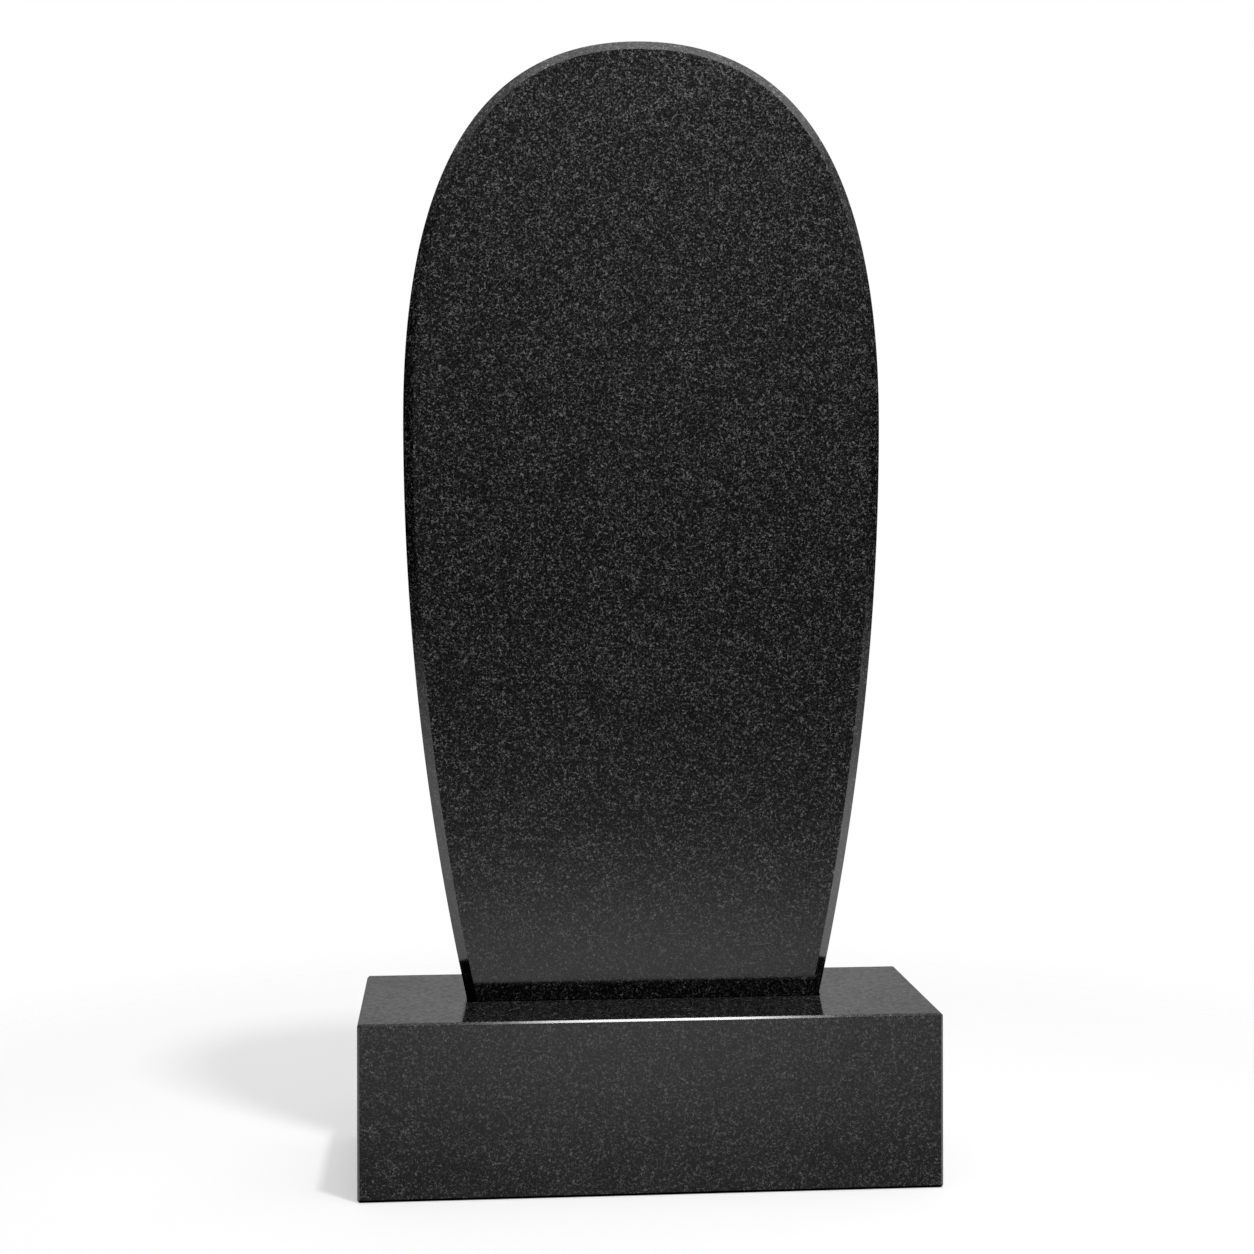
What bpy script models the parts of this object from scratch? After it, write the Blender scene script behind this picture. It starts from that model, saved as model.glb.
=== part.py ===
"""A headstone in polished black granite: an egg-shaped slab, the stele, that stands on a rectangular plinth.

Lengths are in metres. +Z is up, the stone faces -Y, and the origin is under the middle of the plinth.
"""

from math import atan2, cos, hypot, radians, sin

import bmesh
import bpy
from mathutils import Vector

# The plinth: a block with a small chamfer on every edge.
PLINTH_WIDTH = 0.500
PLINTH_DEPTH = 0.200
PLINTH_HEIGHT = 0.150
PLINTH_CHAMFER = 0.002

# The stele's outline, as seen from the front. The side height runs from the foot to the widest point,
# and the head height from there to the crown.
STELE_WIDTH = 0.426
STELE_FOOT_WIDTH = 0.315
STELE_SIDE_HEIGHT = 0.512
STELE_HEAD_HEIGHT = 0.339
STELE_THICKNESS = 0.040

# How full the head is: its curve's pull up from the sides, as a share of the head height, and its pull
# out from the crown, as a share of half the width.
HEAD_SIDE_PULL = 0.655
HEAD_CROWN_PULL = 0.680

# The stele's rim has a wide chamfer in front and a fine arris behind. The foot has neither.
STELE_FRONT_CHAMFER = 0.0087
STELE_BACK_ARRIS = 0.002

# The bed between the two stones.
JOINT_GAP = 0.0003

# Straight steps in each curved stretch of the outline.
OUTLINE_STEPS = 64

# Points nearer to each other than this are one point, and a face that is this nearly level is part of a cap.
SAME_PLACE = 0.000001
CAP_TILT_COSINE = 0.99

GRANITE_COLOUR = (0.012, 0.012, 0.013, 1.0)
GRANITE_ROUGHNESS = 0.08


def clear_scene():
    """Removes every object that the scene starts with."""
    for old in list(bpy.data.objects):
        bpy.data.objects.remove(old)


def new_collection(name):
    collection = bpy.data.collections.new(name)
    bpy.context.scene.collection.children.link(collection)
    return collection


def granite(name):
    """The polished stone of one piece."""
    material = bpy.data.materials.new(name)
    material.use_nodes = True
    shader = material.node_tree.nodes["Principled BSDF"]
    shader.inputs["Base Color"].default_value = GRANITE_COLOUR
    shader.inputs["Roughness"].default_value = GRANITE_ROUGHNESS
    shader.inputs["Metallic"].default_value = 0.0
    material.diffuse_color = GRANITE_COLOUR
    return material


def mirrored(knot):
    """The same outline point on the other side of the middle line, where the outline runs the other way."""
    place, before, after = knot
    return tuple(None if p is None else Vector((-p.x, p.y)) for p in (place, after, before))


def stele_outline():
    """The outline's five points, anticlockwise from the right end of the foot.

    Each is (place, handle before it, handle after it). X is across the slab and Y is up from its foot. The
    foot's ends have no handle along the foot, which is straight.
    """
    half_width = STELE_WIDTH / 2
    half_foot = STELE_FOOT_WIDTH / 2

    # Each side is an arc of a circle from the foot up to the widest point, where it stands upright.
    draw_in = half_width - half_foot
    turn = 2 * atan2(draw_in, STELE_SIDE_HEIGHT)
    arc_pull = hypot(STELE_SIDE_HEIGHT, draw_in) / (3 * cos(turn / 4) ** 2)
    foot_place = Vector((half_foot, 0))
    foot = (foot_place, None, foot_place + Vector((sin(turn), cos(turn))) * arc_pull)

    # From there it turns over into the crown, which is level in the middle.
    side_place = Vector((half_width, STELE_SIDE_HEIGHT))
    side_pull = Vector((0, STELE_HEAD_HEIGHT * HEAD_SIDE_PULL))
    side = (side_place, side_place - Vector((0, arc_pull)), side_place + side_pull)
    crown_place = Vector((0, STELE_SIDE_HEIGHT + STELE_HEAD_HEIGHT))
    crown_pull = Vector((half_width * HEAD_CROWN_PULL, 0))
    crown = (crown_place, crown_place + crown_pull, crown_place - crown_pull)

    return [foot, side, crown, mirrored(side), mirrored(foot)]


def filled_outline(name, knots, thickness):
    """A closed outline as a filled 2D curve, half of its thickness to each side of the XY plane."""
    curve = bpy.data.curves.new(name, "CURVE")
    curve.dimensions = "2D"
    curve.fill_mode = "BOTH"
    curve.resolution_u = OUTLINE_STEPS
    curve.extrude = thickness / 2
    spline = curve.splines.new("BEZIER")
    spline.bezier_points.add(len(knots) - 1)
    spline.use_cyclic_u = True
    for point, (place, before, after) in zip(spline.bezier_points, knots):
        point.co = place.to_3d()
        point.handle_left_type = "VECTOR" if before is None else "FREE"
        point.handle_right_type = "VECTOR" if after is None else "FREE"
        if before is not None:
            point.handle_left = before.to_3d()
        if after is not None:
            point.handle_right = after.to_3d()
    return curve


def solid_from(curve):
    """The curve's solid as a bmesh, with each flat cap as one face. The curve is removed."""
    guide = bpy.data.objects.new(curve.name, curve)
    bpy.context.scene.collection.objects.link(guide)
    evaluated = guide.evaluated_get(bpy.context.evaluated_depsgraph_get())
    bm = bmesh.new()
    bm.from_mesh(evaluated.to_mesh())
    evaluated.to_mesh_clear()
    bpy.data.objects.remove(guide)
    bpy.data.curves.remove(curve)
    bmesh.ops.remove_doubles(bm, verts=bm.verts, dist=SAME_PLACE)
    for facing in (1, -1):
        cap = [face for face in bm.faces if face.normal.z * facing > CAP_TILT_COSINE]
        bmesh.ops.dissolve_faces(bm, faces=cap)
    return bm


def cut_rim(bm, facing, width):
    """Cuts a 45 degree chamfer round the cap that faces +Z or -Z, all but along its level foot."""
    cap = max(bm.faces, key=lambda face: face.calc_center_median().z * facing)
    foot_line = min(v.co.y for v in cap.verts) + SAME_PLACE
    rim = [edge for edge in cap.edges if any(v.co.y > foot_line for v in edge.verts)]
    bmesh.ops.bevel(
        bm, geom=rim, offset=width, offset_type="OFFSET", segments=1, affect="EDGES", clamp_overlap=True
    )


def make_stele(collection):
    """The egg-shaped slab, upright on the middle of the plinth."""
    bm = solid_from(filled_outline("stele", stele_outline(), STELE_THICKNESS))
    cut_rim(bm, 1, STELE_FRONT_CHAMFER)
    cut_rim(bm, -1, STELE_BACK_ARRIS)
    bmesh.ops.recalc_face_normals(bm, faces=bm.faces)
    mesh = bpy.data.meshes.new("stele")
    bm.to_mesh(mesh)
    bm.free()
    mesh.shade_smooth()
    mesh.set_sharp_from_angle(angle=radians(20))
    mesh.materials.append(granite("stele_granite"))

    stele = bpy.data.objects.new("stele", mesh)
    stele.rotation_euler = (radians(90), 0, 0)
    stele.location = (0, 0, PLINTH_HEIGHT + JOINT_GAP)
    collection.objects.link(stele)


def make_plinth(collection):
    """The block that the slab stands on."""
    bm = bmesh.new()
    bmesh.ops.create_cube(bm, size=1)
    bmesh.ops.scale(bm, verts=bm.verts, vec=(PLINTH_WIDTH, PLINTH_DEPTH, PLINTH_HEIGHT))
    mesh = bpy.data.meshes.new("plinth")
    bm.to_mesh(mesh)
    bm.free()
    mesh.materials.append(granite("plinth_granite"))

    plinth = bpy.data.objects.new("plinth", mesh)
    plinth.location = (0, 0, PLINTH_HEIGHT / 2)
    chamfer = plinth.modifiers.new("chamfer", "BEVEL")
    chamfer.width = PLINTH_CHAMFER
    chamfer.segments = 1
    collection.objects.link(plinth)


def main():
    clear_scene()
    headstone = new_collection("headstone")
    make_plinth(headstone)
    make_stele(headstone)


main()
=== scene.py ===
# %% [markdown]
# # A headstone in polished black granite
#
# The real object is two stones. An egg-shaped slab, the stele, stands upright on a low rectangular block,
# the plinth. Both are sawn from black granite, ground and polished until they mirror the room. Most of what
# the eye sees on such a stone is the room, so this lesson spends as much care on light as on shape.
#
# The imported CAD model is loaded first. It fixes the place and the size of both stones.

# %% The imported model
from math import atan2, cos, hypot, pi, radians, sin

import bpy
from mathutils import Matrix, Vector


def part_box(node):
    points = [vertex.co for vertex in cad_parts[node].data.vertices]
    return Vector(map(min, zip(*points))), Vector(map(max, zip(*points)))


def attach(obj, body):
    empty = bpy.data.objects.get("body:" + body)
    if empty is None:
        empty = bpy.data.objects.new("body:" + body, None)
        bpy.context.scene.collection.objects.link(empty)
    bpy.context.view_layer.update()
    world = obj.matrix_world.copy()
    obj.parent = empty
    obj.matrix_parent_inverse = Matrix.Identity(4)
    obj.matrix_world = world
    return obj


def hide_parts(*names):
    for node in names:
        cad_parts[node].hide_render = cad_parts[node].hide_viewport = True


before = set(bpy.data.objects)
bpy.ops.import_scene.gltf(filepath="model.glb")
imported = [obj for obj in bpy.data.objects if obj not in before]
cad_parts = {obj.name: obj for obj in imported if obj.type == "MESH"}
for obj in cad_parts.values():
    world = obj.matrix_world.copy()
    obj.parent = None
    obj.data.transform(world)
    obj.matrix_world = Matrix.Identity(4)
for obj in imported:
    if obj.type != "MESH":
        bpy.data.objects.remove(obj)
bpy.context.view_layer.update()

# %% [markdown]
# ## The camera
#
# The stone is seen from a little left of its middle, from about half its height, with a slightly long lens.
# The camera isn't tilted, so that upright edges stay upright. To bring the whole stone into the frame the
# lens is shifted down a little, as an architect's camera would be. A tenth of a degree of roll is what a
# tripod set by hand leaves.

# %% The camera, a little to the left
CAMERA_PLACE = (-0.1624, -1.8411, 0.5523)
CAMERA_TURN = -0.08054
CAMERA_ROLL = 0.00174
CAMERA_LENS = 59.15
CAMERA_SENSOR = 36.0
CAMERA_SHIFT = -0.0654

bpy.ops.object.select_all(action="DESELECT")
bpy.ops.object.camera_add(location=CAMERA_PLACE, rotation=(radians(90), CAMERA_ROLL, CAMERA_TURN))
camera = bpy.context.object
camera.name = "camera"
camera.data.lens = CAMERA_LENS
camera.data.sensor_width = CAMERA_SENSOR
camera.data.shift_y = CAMERA_SHIFT
bpy.context.scene.camera = camera
print("camera at", [round(side, 3) for side in camera.location])

# %% [markdown]
# A picture of a black stone is developed with firm darks: what is nearly black turns fully black, and the
# rest stays as it is. Blender does this with a curve over the picture's linear light.

# %% Developing the picture
DARK_TONES = ((0.004, 0.0003), (0.012, 0.005), (0.022, 0.0145), (0.045, 0.043), (0.10, 0.10))
CURVE_FOR_ALL_COLOURS = 3

film = bpy.context.scene.view_settings
film.view_transform = "Standard"
film.use_curve_mapping = True
tones = film.curve_mapping.curves[CURVE_FOR_ALL_COLOURS]
for light, shown_as in DARK_TONES:
    tones.points.new(light, shown_as)
film.curve_mapping.update()
print("points on the tone curve:", len(tones.points))

# %% [markdown]
# ## Wiring nodes
#
# Materials and the studio's light are made of nodes. These helpers add them. A value that is the socket of
# another node is wired to the input, and any other value is typed into it.

# %% Helpers that add nodes
def add_node(tree, kind, inputs=None, **settings):
    """Adds a node, sets its options, and wires or fills its inputs."""
    node = tree.nodes.new(kind)
    for name, value in settings.items():
        setattr(node, name, value)
    for name, value in (inputs or {}).items():
        if isinstance(value, bpy.types.NodeSocket):
            tree.links.new(value, node.inputs[name])
        else:
            node.inputs[name].default_value = value
    return node


def smooth_step(tree, value, start, end, low=0.0, high=1.0):
    """Low up to start and high from end, with a soft change between them."""
    limits = {"Value": value, "From Min": start, "From Max": end, "To Min": low, "To Max": high}
    return add_node(tree, "ShaderNodeMapRange", limits, interpolation_type="SMOOTHSTEP").outputs[0]


def arithmetic(tree, operation, *values):
    """One step of arithmetic on numbers or sockets."""
    return add_node(tree, "ShaderNodeMath", dict(enumerate(values)), operation=operation).outputs[0]


def mix_colours(tree, amount, one, other):
    """Turns from one colour to the other as the amount goes from 0 to 1. A Mix node's colours are 6 and 7."""
    return add_node(tree, "ShaderNodeMix", {0: amount, 6: one, 7: other}, data_type="RGBA").outputs[2]


def noise(tree, place, scale, detail):
    """A cloudy noise from 0 to 1."""
    settings = {"Vector": place, "Scale": scale, "Detail": detail}
    return add_node(tree, "ShaderNodeTexNoise", settings).outputs[0]


def grey_ramp(tree, value, stops):
    """A ramp of greys. Each stop is (place from 0 to 1, brightness)."""
    node = add_node(tree, "ShaderNodeValToRGB", {"Fac": value})
    elements = node.color_ramp.elements
    while len(elements) < len(stops):
        elements.new(1.0)
    for element, (place, bright) in zip(elements, stops):
        element.position = place
        element.color = (bright, bright, bright, 1.0)
    return node.outputs["Color"]


# %% [markdown]
# ## The studio
#
# A black mirror shows what stands round it. The room here is dark at eye level, which keeps the slab's face
# black, and bright overhead and low down at the sides, which lets the chamfer shine. Behind the stone it is
# grey, and the top of the plinth mirrors that. The light could come from lamps alone, but each lamp would
# show as a patch with edges. So it is written as brightness by height on four sides. The height of a
# direction is the third part of its vector: -1 straight down, 0 level, 1 straight up. What lies below 0 is
# the floor as the stone mirrors it, a pool of light round a darker foot. A bright screen hangs overhead, a
# little to the front, and the plinth's front edge mirrors it as a white streak.

# %% The room: brightness by height on each side
ROOM_FRONT = (
    (-1.00, 1.00), (-0.36, 0.90), (-0.32, 0.32), (-0.30, 0.29), (-0.28, 0.44), (-0.26, 0.61), (-0.24, 0.69),
    (-0.225, 0.71), (-0.21, 0.90), (-0.20, 0.96), (-0.19, 0.78), (-0.17, 0.55), (-0.14, 0.28), (-0.11, 0.18),
    (-0.08, 0.14), (-0.04, 0.10), (0.00, 0.085), (0.08, 0.11), (0.25, 0.12), (0.50, 0.22), (0.70, 0.30),
    (0.90, 0.40), (0.97, 0.80), (1.00, 1.20),
)
ROOM_BACK = (
    (-1.00, 0.00), (-0.30, 0.05), (0.00, 0.35), (0.10, 0.44), (0.40, 0.42), (0.70, 0.50), (0.85, 0.72),
    (0.94, 1.02), (1.00, 1.25),
)
ROOM_LEFT = (
    (-1.00, 0.60), (-0.45, 0.80), (-0.40, 1.02), (-0.35, 1.22), (-0.30, 1.25), (-0.25, 1.16), (-0.21, 0.85),
    (-0.17, 0.55), (-0.11, 0.06), (-0.04, 0.00), (0.05, 0.00), (0.14, 0.00), (0.28, 0.04), (0.43, 0.03),
    (0.58, 0.20), (0.74, 0.37), (0.87, 0.44), (0.94, 0.96), (1.00, 1.25),
)
ROOM_RIGHT = (
    (-1.00, 0.60), (-0.45, 0.80), (-0.40, 1.08), (-0.29, 1.35), (-0.23, 1.17), (-0.19, 0.54), (-0.14, 0.38),
    (-0.09, 0.11), (-0.03, 0.00), (0.04, 0.00), (0.13, 0.00), (0.25, 0.02), (0.37, 0.21), (0.51, 0.17),
    (0.65, 1.02), (0.78, 0.90), (0.87, 0.76), (0.94, 1.45), (1.00, 1.25),
)
POOL_MIDDLE = 0.08
POOL_REACH = 0.20
POOL_EDGE = 0.72
FRONT_TO_BACK = (-0.15, 0.20)
LEFT_TO_RIGHT = (-0.25, 0.25)
FACING_TO_SIDES = (0.6, 0.9)
SCREEN_ACROSS = 0.095
SCREEN_AWAY = -0.225
SCREEN_REACH = (0.028, 0.08)
SCREEN_DEPTH = (0.015, 0.05)
SCREEN_ABOVE = (0.8, 0.9)
SCREEN_BRIGHT = 28.0

world = bpy.data.worlds.new("studio room")
world.use_nodes = True
bpy.context.scene.world = world
room = world.node_tree
room.nodes.clear()
direction = add_node(room, "ShaderNodeTexCoord").outputs["Generated"]
across, away, up = add_node(room, "ShaderNodeSeparateXYZ", {"Vector": direction}).outputs
ramp_place = arithmetic(room, "MULTIPLY_ADD", up, 0.5, 0.5)
front, back, left, right = [
    grey_ramp(room, ramp_place, [(height * 0.5 + 0.5, bright) for height, bright in stops])
    for stops in (ROOM_FRONT, ROOM_BACK, ROOM_LEFT, ROOM_RIGHT)
]

# The share of a direction's level part that runs sideways picks the side walls, whatever its height.
level_part = arithmetic(
    room, "SQRT", arithmetic(room, "MULTIPLY_ADD", across, across, arithmetic(room, "MULTIPLY", away, away))
)
sideways = arithmetic(room, "DIVIDE", arithmetic(room, "ABSOLUTE", across), level_part)

# In front of the stone and behind it the room is brightest in the middle.
off_middle = arithmetic(room, "ABSOLUTE", arithmetic(room, "SUBTRACT", across, POOL_MIDDLE))
pool = smooth_step(room, off_middle, 0.0, POOL_REACH, 1.0, POOL_EDGE)
front_and_back = mix_colours(room, smooth_step(room, away, *FRONT_TO_BACK), front, back)
facing_walls = add_node(
    room, "ShaderNodeVectorMath", {0: front_and_back, 1: pool}, operation="MULTIPLY"
).outputs[0]
side_walls = mix_colours(room, smooth_step(room, across, *LEFT_TO_RIGHT), left, right)
walls = mix_colours(room, smooth_step(room, sideways, *FACING_TO_SIDES), facing_walls, side_walls)

# The screen overhead is a soft-edged strip, and there is none below the floor.
along_screen = arithmetic(room, "ABSOLUTE", arithmetic(room, "SUBTRACT", across, SCREEN_ACROSS))
off_screen = arithmetic(room, "ABSOLUTE", arithmetic(room, "SUBTRACT", away, SCREEN_AWAY))
screen = arithmetic(room, "MULTIPLY", smooth_step(room, along_screen, *SCREEN_REACH, SCREEN_BRIGHT, 0.0),
                    smooth_step(room, off_screen, *SCREEN_DEPTH, 1.0, 0.0))
overhead = arithmetic(room, "MULTIPLY", screen, smooth_step(room, up, *SCREEN_ABOVE))
walls = add_node(room, "ShaderNodeVectorMath", {0: walls, 1: overhead}, operation="ADD").outputs[0]
glow = add_node(room, "ShaderNodeBackground", {"Color": walls, "Strength": 1.0}).outputs[0]
white = add_node(room, "ShaderNodeBackground", {"Color": (1, 1, 1, 1), "Strength": 1.0}).outputs[0]
seen = add_node(room, "ShaderNodeLightPath").outputs["Is Camera Ray"]
shown = add_node(room, "ShaderNodeMixShader", {0: seen, 1: glow, 2: white}).outputs[0]
add_node(room, "ShaderNodeOutputWorld", {"Surface": shown})
brightest = max(bright for height, bright in ROOM_RIGHT)
print("room overhead:", ROOM_FRONT[-1][1], "brightest at the right:", brightest)

# %% [markdown]
# One small square lamp hangs above the stone, in front of it and a little to the right. It gives the faint
# shadow on the left, and its size sets how soft the shadow's edge is. The polish doesn't show the lamp
# itself, because the screen hangs in its place.

# %% The lamp overhead
LAMP_PLACE = Vector((0.20, -0.57, 2.05))
LAMP_TARGET = Vector((0, 0, 0.3))
LAMP_SIDE = 0.14
LAMP_WATTS = 20.5

lamp_turn = (LAMP_PLACE - LAMP_TARGET).to_track_quat("Z", "Y").to_euler()
bpy.ops.object.light_add(type="AREA", location=LAMP_PLACE, rotation=lamp_turn)
lamp = bpy.context.object
lamp.name = "overhead_lamp"
lamp.data.shape = "SQUARE"
lamp.data.size = LAMP_SIDE
lamp.data.energy = LAMP_WATTS
lamp.visible_camera = False
lamp.visible_glossy = False
print("lamp radiance:", round(LAMP_WATTS / pi / LAMP_SIDE**2, 1))

# %% [markdown]
# The floor is a plain pale sheet that is also lit from below, as a light table is, so that its shadows stay
# pale. Only a round of it is needed, and towards its rim it turns clear, so it melts into the white behind it
# and has no edge. The stone doesn't mirror this sheet but the room's own lower half, so the sheet shows to
# the camera's rays and lets all others through.

# %% The floor
FLOOR_RADIUS = 1.2
FLOOR_SIDES = 96
FLOOR_SOLID_TO = 0.6
FLOOR_CLEAR_FROM = 1.1
FLOOR_WHITE = (0.60, 0.60, 0.60, 1)
FLOOR_GLOW = 0.46

bpy.ops.object.select_all(action="DESELECT")
bpy.ops.mesh.primitive_circle_add(vertices=FLOOR_SIDES, radius=FLOOR_RADIUS, fill_type="NGON")
floor = bpy.context.object
floor.name = "floor"
pale = bpy.data.materials.new("pale floor")
pale.use_nodes = True
paper = pale.node_tree
paper.nodes.clear()
from_middle = add_node(
    paper, "ShaderNodeVectorMath",
    {0: add_node(paper, "ShaderNodeTexCoord").outputs["Object"]}, operation="LENGTH",
).outputs["Value"]
lit_above = add_node(paper, "ShaderNodeBsdfDiffuse", {"Color": FLOOR_WHITE}).outputs[0]
lit_below = add_node(paper, "ShaderNodeEmission", {"Strength": FLOOR_GLOW}).outputs[0]
sheet = add_node(paper, "ShaderNodeAddShader", {0: lit_above, 1: lit_below}).outputs[0]
clear = add_node(paper, "ShaderNodeBsdfTransparent").outputs[0]
fading = smooth_step(paper, from_middle, FLOOR_SOLID_TO, FLOOR_CLEAR_FROM, 1.0, 0.0)
to_camera = add_node(paper, "ShaderNodeLightPath").outputs["Is Camera Ray"]
solid_share = arithmetic(paper, "MULTIPLY", fading, to_camera)
melting = add_node(paper, "ShaderNodeMixShader", {0: solid_share, 1: clear, 2: sheet}).outputs[0]
add_node(paper, "ShaderNodeOutputMaterial", {"Surface": melting})
floor.data.materials.append(pale)
print("floor across:", 2 * FLOOR_RADIUS, "m")

# %% [markdown]
# ## Black granite, polished
#
# Black granite is a mass of dark crystals with thin grey laths of feldspar between them, a few millimetres
# long and under a millimetre wide. The polish shows them as short pale strokes, bent and in every direction.
# A noise used as it is would give soft blots. But the places where a noise passes through its middle value
# are thin bent lines, and those are the strokes. A Voronoi pattern of small cells cuts the lines into pieces,
# each with a brightness of its own. The Mapping node is of the Texture type, which reads its scale as a real
# size: here the spacing of the strokes. All noises have the middle value 0.5.

# %% One set of strokes
STROKE_SPACING = 0.0028
STROKE_WIDTH = 0.07
STROKE_PIECES = 1.2
STROKE_CONTRAST = 2.0
FINE_DETAIL = 1.0
NOISE_MIDDLE = 0.5


def strokes(tree, place, shift):
    """The brightness of a set of thin bent strokes."""
    spacing = (STROKE_SPACING, STROKE_SPACING, STROKE_SPACING)
    fine = add_node(
        tree, "ShaderNodeMapping",
        {"Vector": place, "Location": shift, "Scale": spacing}, vector_type="TEXTURE",
    ).outputs[0]
    waves = noise(tree, fine, 1.0, FINE_DETAIL)
    off_middle = arithmetic(tree, "ABSOLUTE", arithmetic(tree, "SUBTRACT", waves, NOISE_MIDDLE))
    lines = smooth_step(tree, off_middle, 0.0, STROKE_WIDTH, 1.0, 0.0)
    pieces = add_node(tree, "ShaderNodeTexVoronoi", {"Vector": fine, "Scale": STROKE_PIECES}).outputs["Color"]
    own_shade = add_node(tree, "ShaderNodeSeparateColor", {"Color": pieces}).outputs["Red"]
    return arithmetic(tree, "MULTIPLY", lines, arithmetic(tree, "POWER", own_shade, STROKE_CONTRAST))


# %% [markdown]
# Two sets of strokes are added to the uneven grey of the dark crystals themselves, a plain fine noise. The
# sum is squared, which leaves most of the stone dark and lets a few crystals stand out, as they do on the
# real stone. There are also larger, hazier patches, and now and then a single bright crystal. The laths take
# the polish a little less well than the dark crystals, so they are a touch rougher and stand a hair lower.
# The shader's index of refraction, 1.55, is feldspar's. It sets how strongly the polish mirrors.

# %% The polished granite
SECOND_SET = 0.37
GROUND_SPACING = 0.0020
GROUND_RANGE = (0.15, 0.85)
GROUND_SHARE = 0.55
FULL_SHADE = 1.45
PATCH_SIZE = 0.03
PATCH_DETAIL = 3.0
PATCH_RANGE = (0.3, 0.7)
PATCH_SHADES = (0.95 / FULL_SHADE, 1.05 / FULL_SHADE)
SPECK_SPACING = 0.006
SPECK_RANGE = (0.03, 0.12)
SPECK_SHADE = 0.9
DARK_GROUND = (0.0084, 0.0084, 0.0086, 1)
STELE_PALE = 0.208
PLINTH_PALE = 0.168
STONE_IOR = 1.55
POLISH_RANGE = (0.35, 0.65)
POLISH_ROUGHNESS = (0.075, 0.10)
LATH_DULLER = 0.02
LATH_RELIEF = 0.03
LATH_DEPTH = 0.0001


def polished_granite(name, shift, pale):
    """Black granite. The shift moves the pattern, so that two stones don't show the same crystals."""
    material = bpy.data.materials.new(name)
    material.use_nodes = True
    tree = material.node_tree
    shader = tree.nodes["Principled BSDF"]
    place = add_node(tree, "ShaderNodeTexCoord").outputs["Object"]

    first = strokes(tree, place, shift)
    second = strokes(tree, place, [part + SECOND_SET for part in shift])
    crystals = arithmetic(tree, "ADD", first, second)
    ground = smooth_step(tree, noise(tree, place, 1 / GROUND_SPACING, FINE_DETAIL), *GROUND_RANGE)
    grain = arithmetic(tree, "MULTIPLY_ADD", ground, GROUND_SHARE, crystals)

    haze = noise(tree, place, 1 / PATCH_SIZE, PATCH_DETAIL)
    patches = smooth_step(tree, haze, *PATCH_RANGE, *PATCH_SHADES)
    spread = add_node(
        tree, "ShaderNodeTexVoronoi", {"Vector": place, "Scale": 1 / SPECK_SPACING}
    ).outputs["Distance"]
    specks = smooth_step(tree, spread, *SPECK_RANGE, SPECK_SHADE, 0.0)
    squared = arithmetic(tree, "POWER", arithmetic(tree, "MULTIPLY", grain, patches), 2.0)
    shade = arithmetic(tree, "MAXIMUM", squared, specks)

    colour = mix_colours(tree, shade, DARK_GROUND, (pale, pale, pale, 1))
    tree.links.new(colour, shader.inputs["Base Color"])
    polish = smooth_step(tree, haze, *POLISH_RANGE, *POLISH_ROUGHNESS)
    gloss = arithmetic(tree, "MULTIPLY_ADD", crystals, LATH_DULLER, polish)
    tree.links.new(gloss, shader.inputs["Roughness"])
    relief = add_node(
        tree, "ShaderNodeBump",
        {"Height": crystals, "Strength": LATH_RELIEF, "Distance": LATH_DEPTH}, invert=True,
    )
    tree.links.new(relief.outputs[0], shader.inputs["Normal"])
    shader.inputs["IOR"].default_value = STONE_IOR
    return material


# The plinth is cut from a slightly quieter part of the rock, so its strokes are less pale.
stele_stone = polished_granite("polished granite, stele", (0.0, 0.0, 0.0), STELE_PALE)
plinth_stone = polished_granite("polished granite, plinth", (0.21, 0.35, 0.17), PLINTH_PALE)
print("nodes in one granite:", len(stele_stone.node_tree.nodes))

# %% [markdown]
# Rain and dust dull the plinth's level top first, one crystal more than the next, so its mirror is uneven
# there.
# At the plinth's foot the lowest chamfer carries painted shade: its colour is turned to the darkest ground
# and it is made to mirror nothing. This stands for the shadow in the narrow gap above the floor, which the
# room here doesn't cast. Both go by the height in the stone, which is the third Object coordinate.

# %% The plinth's top, and the painted shade at its foot
TOP_HEIGHTS = (0.1498, 0.1499)
TOP_SPACING = 0.0038
TOP_RANGE = (0.38, 0.62)
TOP_MIRROR = (0.2, 1.0)
# The painted shade at the plinth's foot fades in between these two heights.
SHADED_FOOT_HEIGHTS = (0.0022, 0.0028)
PLAIN_MIRROR = 0.5

stone = plinth_stone.node_tree
stone_shader = stone.nodes["Principled BSDF"]
stone_place = add_node(stone, "ShaderNodeTexCoord").outputs["Object"]
height = add_node(stone, "ShaderNodeSeparateXYZ", {"Vector": stone_place}).outputs["Z"]
on_top = smooth_step(stone, height, *TOP_HEIGHTS)
above_painted_foot_shade = smooth_step(stone, height, *SHADED_FOOT_HEIGHTS)
flecks = noise(stone, stone_place, 1 / TOP_SPACING, FINE_DETAIL)
change = arithmetic(stone, "SUBTRACT", smooth_step(stone, flecks, *TOP_RANGE, *TOP_MIRROR), PLAIN_MIRROR)
uneven_mirror = arithmetic(stone, "MULTIPLY_ADD", change, on_top, PLAIN_MIRROR)
# Painted shade: below the foot heights the polish is made to mirror nothing.
mirror_with_painted_foot_shade = arithmetic(stone, "MULTIPLY", uneven_mirror, above_painted_foot_shade)
stone.links.new(mirror_with_painted_foot_shade, stone_shader.inputs["Specular IOR Level"])
# Painted shade: below the foot heights the colour is turned to the darkest ground.
colour_without_foot_shade = stone_shader.inputs["Base Color"].links[0].from_socket
stone.links.new(mix_colours(stone, above_painted_foot_shade, DARK_GROUND, colour_without_foot_shade), stone_shader.inputs["Base Color"])
print("nodes in the plinth's granite:", len(stone.nodes))

# %% [markdown]
# The plinth's underside is never seen, so the mason leaves it as the saw left it: grey, matt, and scored
# with shallow arcs by the round blade. Rings round a far-off centre give arcs that are nearly straight. The
# Wave texture's own rings are 0.314 apart, so its scale is that length over the wanted pitch.

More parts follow.
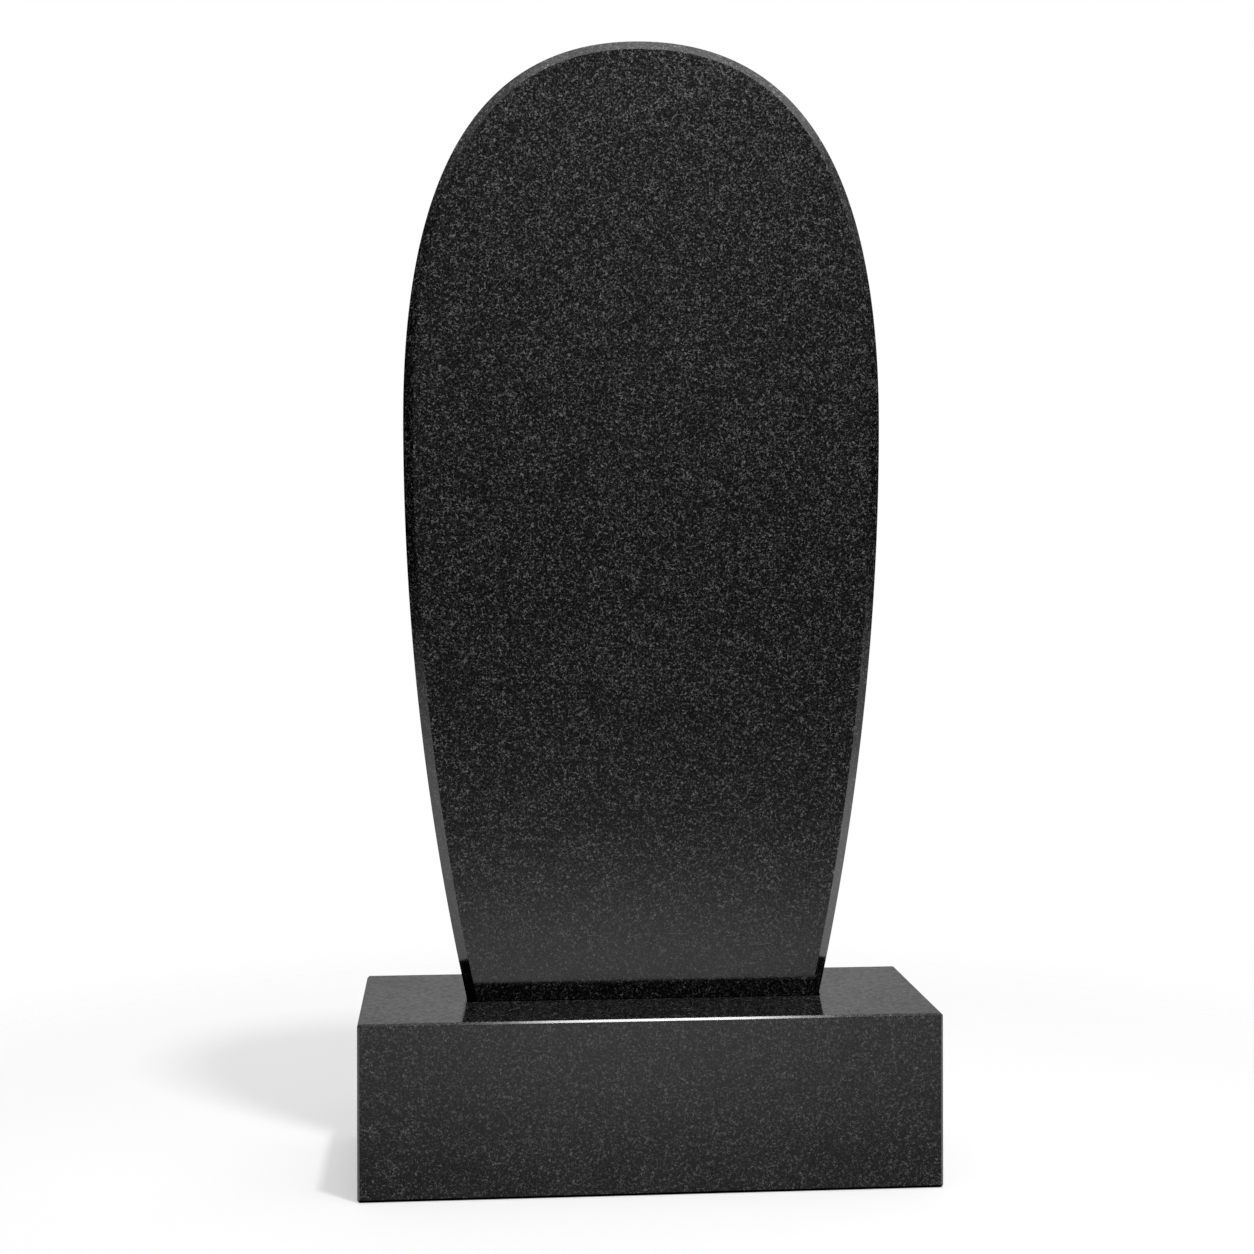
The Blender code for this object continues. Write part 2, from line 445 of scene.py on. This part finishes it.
# %% The sawn granite of the underside
SAW_CENTRE = (1.4, 0.3, 0.0)
SAW_PITCH = 0.004
RING_PITCH = 0.314
RING_WAVER = 1.5
RING_DETAIL = 2.0
SCORE_SHARE = 0.35
SAWN_GRAIN = 700.0
SAWN_DETAIL = 4.0
SAWN_RELIEF = 0.5
SAWN_DEPTH = 0.0004
SAWN_RANGE = (0.3, 0.7)
SAWN_ROUGHNESS = (0.55, 0.75)
SAWN_DARK = (0.045, 0.045, 0.046, 1)
SAWN_PALE = (0.11, 0.11, 0.112, 1)

sawn_stone = bpy.data.materials.new("sawn granite")
sawn_stone.use_nodes = True
sawn = sawn_stone.node_tree
sawn_place = add_node(sawn, "ShaderNodeTexCoord").outputs["Object"]
from_blade = add_node(
    sawn, "ShaderNodeMapping", {"Vector": sawn_place, "Location": SAW_CENTRE}, vector_type="TEXTURE"
).outputs[0]
scores = add_node(
    sawn, "ShaderNodeTexWave",
    {"Vector": from_blade, "Scale": RING_PITCH / SAW_PITCH, "Distortion": RING_WAVER, "Detail": RING_DETAIL},
    wave_type="RINGS", rings_direction="Z",
).outputs["Fac"]
grain = noise(sawn, sawn_place, SAWN_GRAIN, SAWN_DETAIL)
mixed = arithmetic(
    sawn, "MULTIPLY_ADD", scores, SCORE_SHARE, arithmetic(sawn, "MULTIPLY", grain, 1 - SCORE_SHARE)
)
sawn_bump = add_node(
    sawn, "ShaderNodeBump", {"Height": mixed, "Strength": SAWN_RELIEF, "Distance": SAWN_DEPTH}
)
sawn_shader = sawn.nodes["Principled BSDF"]
sawn.links.new(mix_colours(sawn, mixed, SAWN_DARK, SAWN_PALE), sawn_shader.inputs["Base Color"])
sawn.links.new(smooth_step(sawn, grain, *SAWN_RANGE, *SAWN_ROUGHNESS), sawn_shader.inputs["Roughness"])
sawn.links.new(sawn_bump.outputs[0], sawn_shader.inputs["Normal"])
print("sawn marks every", 1000 * SAW_PITCH, "mm")

# %% [markdown]
# ## Working a stone
#
# Both stones get the same last passes at the mason's hand: every sharp edge is eased by a few tenths of a
# millimetre, because a knife edge would chip, and the faces stay dead flat. Smooth shading alone would
# round the flat faces. The Weighted Normal modifier gives each point the direction of its largest face, so
# that only the eased edges turn the light.

# %% Helpers that work a stone in edit mode
SAME_PLACE = 0.000005
SHARP_FROM = radians(30)
FACES_STRAIGHT = 0.99


def choose(piece, wanted, part="faces"):
    """Selects the faces or edges of the piece that pass a test, in edit mode."""
    bpy.ops.object.mode_set(mode="EDIT")
    bpy.ops.mesh.select_mode(type="FACE" if part == "faces" else "EDGE")
    bpy.ops.mesh.select_all(action="DESELECT")
    bpy.ops.object.mode_set(mode="OBJECT")
    chosen = 0
    for item in getattr(piece.data, "polygons" if part == "faces" else "edges"):
        item.select = wanted(item)
        chosen += item.select
    bpy.ops.object.mode_set(mode="EDIT")
    return chosen


def ease_and_smooth(piece, width, steps, foot=None):
    """Eases every sharp edge but those of the foot, and shades faces flat and arrises round."""
    bpy.ops.object.mode_set(mode="EDIT")
    bpy.ops.mesh.select_mode(type="EDGE")
    bpy.ops.mesh.select_all(action="DESELECT")
    bpy.ops.mesh.edges_select_sharp(sharpness=SHARP_FROM)
    bpy.ops.object.mode_set(mode="OBJECT")
    spots = piece.data.vertices
    for edge in piece.data.edges:
        if foot is not None and all(abs(spots[i].co.z - foot) < SAME_PLACE for i in edge.vertices):
            edge.select = False
    bpy.ops.object.mode_set(mode="EDIT")
    bpy.ops.mesh.bevel(offset=width, offset_type="OFFSET", segments=steps, affect="EDGES")
    bpy.ops.object.mode_set(mode="OBJECT")
    bpy.ops.object.shade_smooth()
    bpy.ops.object.modifier_add(type="WEIGHTED_NORMAL")
    bpy.ops.object.modifier_apply(modifier=piece.modifiers[-1].name)
    low = [min(v.co[i] for v in piece.data.vertices) for i in range(3)]
    high = [max(v.co[i] for v in piece.data.vertices) for i in range(3)]
    print(piece.name, "mm:", [round(1000 * (b - a), 2) for a, b in zip(low, high)],
          "faces:", len(piece.data.polygons))


# %% [markdown]
# ## The plinth
#
# The plinth is a sawn block with a narrow flat chamfer along every edge. It starts as a cube of the block's
# size, in its place. The chamfer is a bevel of one segment, as the mason's straight cut is. The small easing
# of its edges comes after it.

# %% The plinth, from a block
PLINTH_CHAMFER = 0.002
EASE_WIDTH = 0.0002
EASE_STEPS = 2

plinth_low, plinth_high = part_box("plinth")
bpy.ops.object.select_all(action="DESELECT")
bpy.ops.mesh.primitive_cube_add(
    size=1, location=(plinth_low + plinth_high) / 2, scale=plinth_high - plinth_low
)
plinth = bpy.context.object
plinth.name = "plinth_block"
bpy.ops.object.transform_apply(location=True, rotation=True, scale=True)
bpy.ops.object.mode_set(mode="EDIT")
bpy.ops.mesh.select_all(action="SELECT")
bpy.ops.mesh.bevel(offset=PLINTH_CHAMFER, offset_type="OFFSET", segments=1, affect="EDGES")
ease_and_smooth(plinth, EASE_WIDTH, EASE_STEPS)

plinth.data.materials.append(plinth_stone)
plinth.data.materials.append(sawn_stone)
choose(plinth, lambda face: face.normal.z < -FACES_STRAIGHT)
plinth.active_material_index = 1
bpy.ops.object.material_slot_assign()
bpy.ops.object.mode_set(mode="OBJECT")
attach(plinth, "root")
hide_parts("plinth")

# %% [markdown]
# ## The stele
#
# The slab's outline is cut to a template, so it starts as a curve with five knots: the two ends of the
# straight foot, the widest point on each side, and the crown. Each side below the widest point is an arc of
# a circle. Above it one Bezier stretch turns over to the level crown. A curve gives a true smooth outline,
# where a mesh circle would have to be pushed into shape point by point.

# %% The template
STELE_WIDTH = 0.426
STELE_FOOT_WIDTH = 0.315
STELE_SIDE_HEIGHT = 0.512
STELE_HEAD_HEIGHT = 0.339
HEAD_SIDE_PULL = 0.655
HEAD_CROWN_PULL = 0.680
OUTLINE_STEPS = 64

stele_low, stele_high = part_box("stele")
half_width = STELE_WIDTH / 2
half_foot = STELE_FOOT_WIDTH / 2
draw_in = half_width - half_foot
lean = 2 * atan2(draw_in, STELE_SIDE_HEIGHT)
arc_pull = hypot(STELE_SIDE_HEIGHT, draw_in) / (3 * cos(lean / 4) ** 2)

# Each knot is its place, the handle before it and the handle after it, anticlockwise from the right foot.
foot_end = Vector((half_foot, 0, 0))
side = Vector((half_width, STELE_SIDE_HEIGHT, 0))
crown = Vector((0, STELE_SIDE_HEIGHT + STELE_HEAD_HEIGHT, 0))
crown_reach = Vector((half_width * HEAD_CROWN_PULL, 0, 0))
right_knots = [
    (foot_end, foot_end, foot_end + Vector((sin(lean), cos(lean), 0)) * arc_pull),
    (side, side - Vector((0, arc_pull, 0)), side + Vector((0, STELE_HEAD_HEIGHT * HEAD_SIDE_PULL, 0))),
]


def other_side(knot):
    """The same knot on the left, where the outline runs the other way."""
    spot, earlier, later = [Vector((-p.x, p.y, p.z)) for p in knot]
    return spot, later, earlier


knots = [*right_knots, (crown, crown + crown_reach, crown - crown_reach)]
knots += [other_side(knot) for knot in reversed(right_knots)]

bpy.ops.object.select_all(action="DESELECT")
bpy.ops.curve.primitive_bezier_circle_add(radius=half_width)
stele = bpy.context.object
stele.name = "stele_slab"
template = stele.data
template.dimensions = "2D"
template.fill_mode = "BOTH"
template.resolution_u = OUTLINE_STEPS
template.extrude = (stele_high.y - stele_low.y) / 2
outline = template.splines[0]
outline.bezier_points.add(len(knots) - len(outline.bezier_points))
for point, (spot, earlier, later) in zip(outline.bezier_points, knots):
    point.handle_left_type = point.handle_right_type = "FREE"
    point.co, point.handle_left, point.handle_right = spot, earlier, later
print("template:", round(crown.y, 4), "m high,", STELE_WIDTH, "m wide")

# %% [markdown]
# The template, filled and thickened, is the sawn slab. It is turned into a mesh, stood up with its face to
# the front, and put on the plinth. Its flat faces come as thin triangles, so they are dissolved to one face
# each. Then the wide chamfer is cut round the front rim and a fine arris round the back, and neither runs
# along the foot, which sits flat on the plinth.

# %% The slab, its chamfer and its back arris
FRONT_CHAMFER = 0.0087
BACK_ARRIS = 0.002

stele.rotation_euler = (radians(90), 0, 0)
stele.location = (0, (stele_low.y + stele_high.y) / 2, stele_low.z)
bpy.ops.object.convert(target="MESH")
stele = bpy.context.object
bpy.ops.object.transform_apply(location=True, rotation=True, scale=True)
bpy.ops.object.mode_set(mode="EDIT")
bpy.ops.mesh.select_all(action="SELECT")
bpy.ops.mesh.remove_doubles(threshold=SAME_PLACE)
bpy.ops.mesh.normals_make_consistent(inside=False)
for facing in (-1, 1):
    choose(stele, lambda face: face.normal.y * facing > FACES_STRAIGHT)
    bpy.ops.mesh.dissolve_faces()


def cut_rim(depth, width):
    """Chamfers the rim that lies at one depth, all but along the foot."""
    spots = stele.data.vertices

    def on_rim(edge):
        ends = [spots[i].co for i in edge.vertices]
        at_depth = all(abs(end.y - depth) < SAME_PLACE for end in ends)
        return at_depth and any(end.z > stele_low.z + SAME_PLACE for end in ends)

    edges = choose(stele, on_rim, "edges")
    bpy.ops.mesh.bevel(offset=width, offset_type="OFFSET", segments=1, affect="EDGES", clamp_overlap=True)
    print("rim edges chamfered:", edges)


cut_rim(stele_low.y, FRONT_CHAMFER)
cut_rim(stele_high.y, BACK_ARRIS)
ease_and_smooth(stele, EASE_WIDTH, EASE_STEPS, foot=stele_low.z)

stele.data.materials.clear()
stele.data.materials.append(stele_stone)
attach(stele, "root")
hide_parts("stele")
